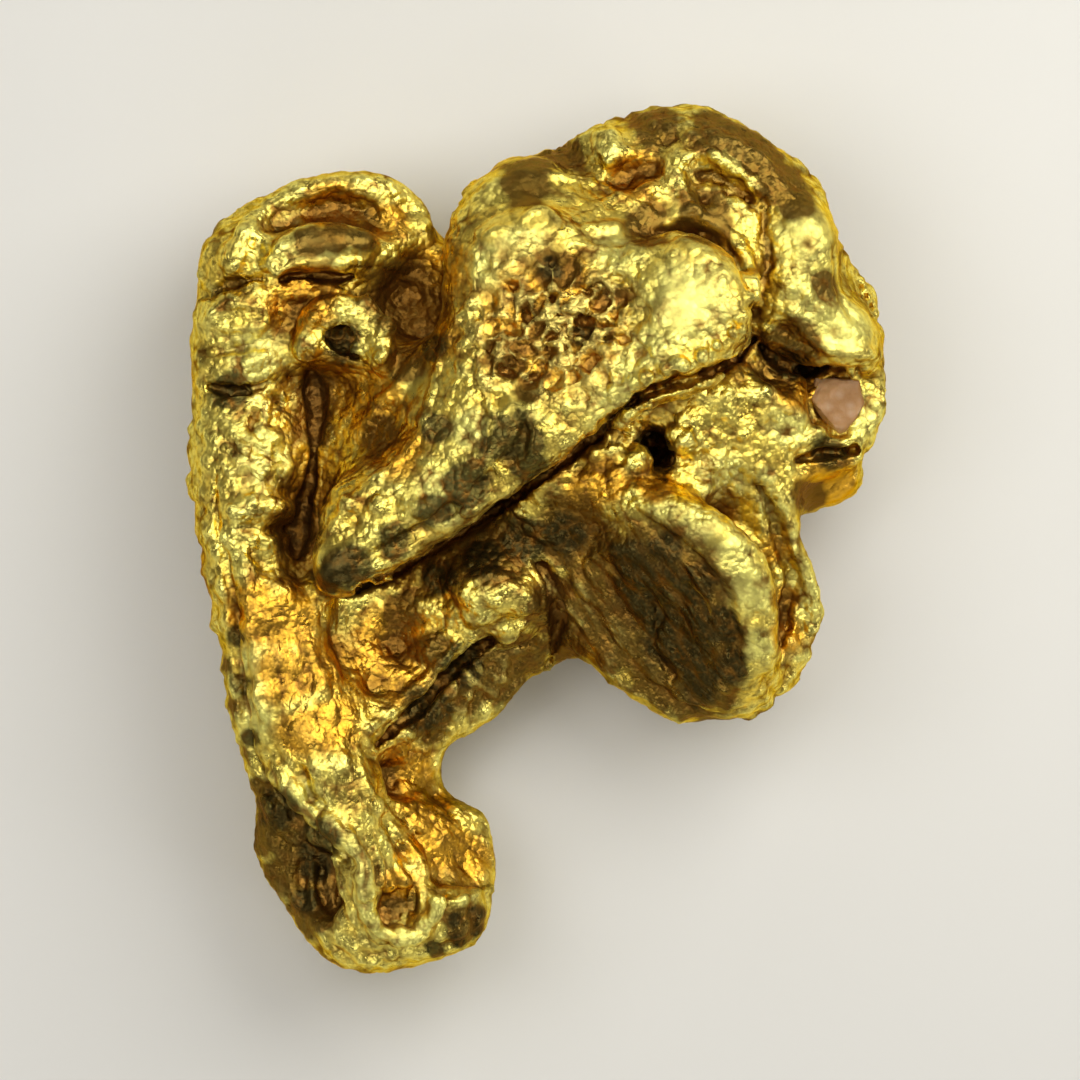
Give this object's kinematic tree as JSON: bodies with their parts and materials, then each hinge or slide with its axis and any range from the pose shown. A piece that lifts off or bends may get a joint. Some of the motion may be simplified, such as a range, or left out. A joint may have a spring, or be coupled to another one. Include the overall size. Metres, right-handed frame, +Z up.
{
  "type": "gold nugget",
  "caption": "Natural gold nugget of folded, rounded lobes with a foot on one side, clefts and pits between them and a grain of quartz in a hooked edge.",
  "frame": {"origin": "on the resting plane, under the middle of the nugget's length and width", "axes": "+Y along the length towards the rounded crown, +X across towards the hooked edge, +Z up from the worn underside to the folded top"},
  "size_m": [0.0144, 0.018, 0.0073],
  "materials": {
    "gold": "natural gold, worn smooth on the lobes and grainy elsewhere",
    "quartz": "iron-stained quartz, dull"
  },
  "bodies": {
    "root": {"gold_nugget": "gold", "quartz_grain": "quartz"}
  },
  "joints": []
}
